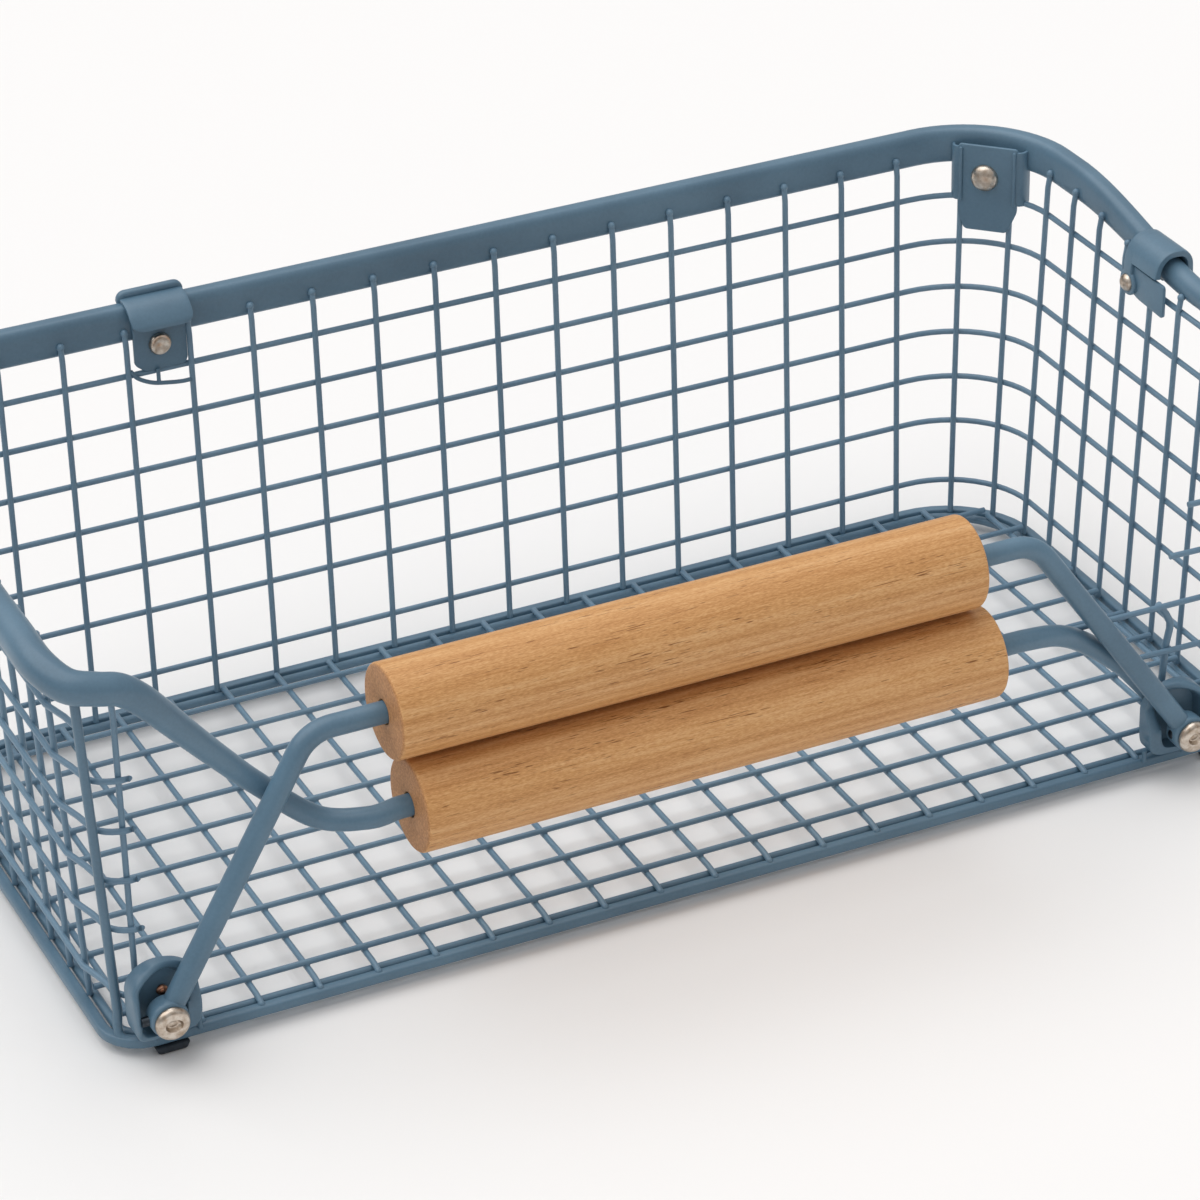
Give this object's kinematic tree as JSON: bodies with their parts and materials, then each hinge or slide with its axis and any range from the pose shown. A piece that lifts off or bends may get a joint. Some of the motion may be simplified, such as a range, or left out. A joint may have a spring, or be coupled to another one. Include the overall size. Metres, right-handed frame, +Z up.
{
  "type": "garden harvest basket",
  "caption": "Open-fronted wire mesh harvest basket with a flattened rim tube, a front rail through a wooden grip, and a swinging bail with a second wooden grip.",
  "frame": {"origin": "on the ground, under the middle of the basket's overall length and depth", "axes": "+X along the basket to the right seen from its open front, +Y from the open front to the back, +Z up"},
  "size_m": [0.4278, 0.2106, 0.1543],
  "materials": {
    "powder_coat": "blue-grey powder coat, satin with a fine texture",
    "beech": "turned beech, oiled",
    "nickel": "dull nickel-plated rivet",
    "copper": "coppered steel pin",
    "rubber": "matt black rubber"
  },
  "bodies": {
    "basket": {"base_strip": "powder_coat", "base_rod": "powder_coat", "floor_mesh": "powder_coat", "back_mesh": "powder_coat", "left_mesh": "powder_coat", "right_mesh": "powder_coat", "back_left_corner_mesh": "powder_coat", "back_right_corner_mesh": "powder_coat", "front_left_mesh": "powder_coat", "front_right_mesh": "powder_coat", "front_left_post": "powder_coat", "rim_tube": "powder_coat", "front_rail": "powder_coat", "left_corner_plate": "powder_coat", "right_corner_plate": "powder_coat", "left_hinge_pin": "nickel", "right_hinge_pin": "nickel", "left_plate_screw": "copper", "right_plate_screw": "copper", "front_left_foot": "rubber", "front_right_foot": "rubber", "back_left_foot": "rubber", "back_right_foot": "rubber", "back_clip": "powder_coat", "corner_clip": "powder_coat", "right_clip": "powder_coat", "left_clip": "powder_coat", "back_clip_rivet": "nickel", "corner_clip_rivet": "nickel", "right_clip_rivet": "nickel", "left_clip_rivet": "nickel"},
    "bail": {"bail": "powder_coat", "left_pivot_cap": "nickel", "right_pivot_cap": "nickel"},
    "bail_grip": {"bail_grip": "beech"},
    "front_grip": {"front_grip": "beech"}
  },
  "joints": [
    {"name": "bail_swing", "type": "hinge", "parent": "basket", "child": "bail", "pos_m": [-0.009, -0.09442, 0.0175], "axis": [1, 0, 0], "range_deg": [0, 98]},
    {"name": "bail_grip_spin", "type": "hinge", "parent": "bail", "child": "bail_grip", "pos_m": [-0.009, -0.08489, 0.09512], "axis": [1, 0, 0], "continuous": true},
    {"name": "front_grip_spin", "type": "hinge", "parent": "basket", "child": "front_grip", "pos_m": [-0.0045, -0.09028, 0.06472], "axis": [1, 0, 0], "continuous": true}
  ]
}
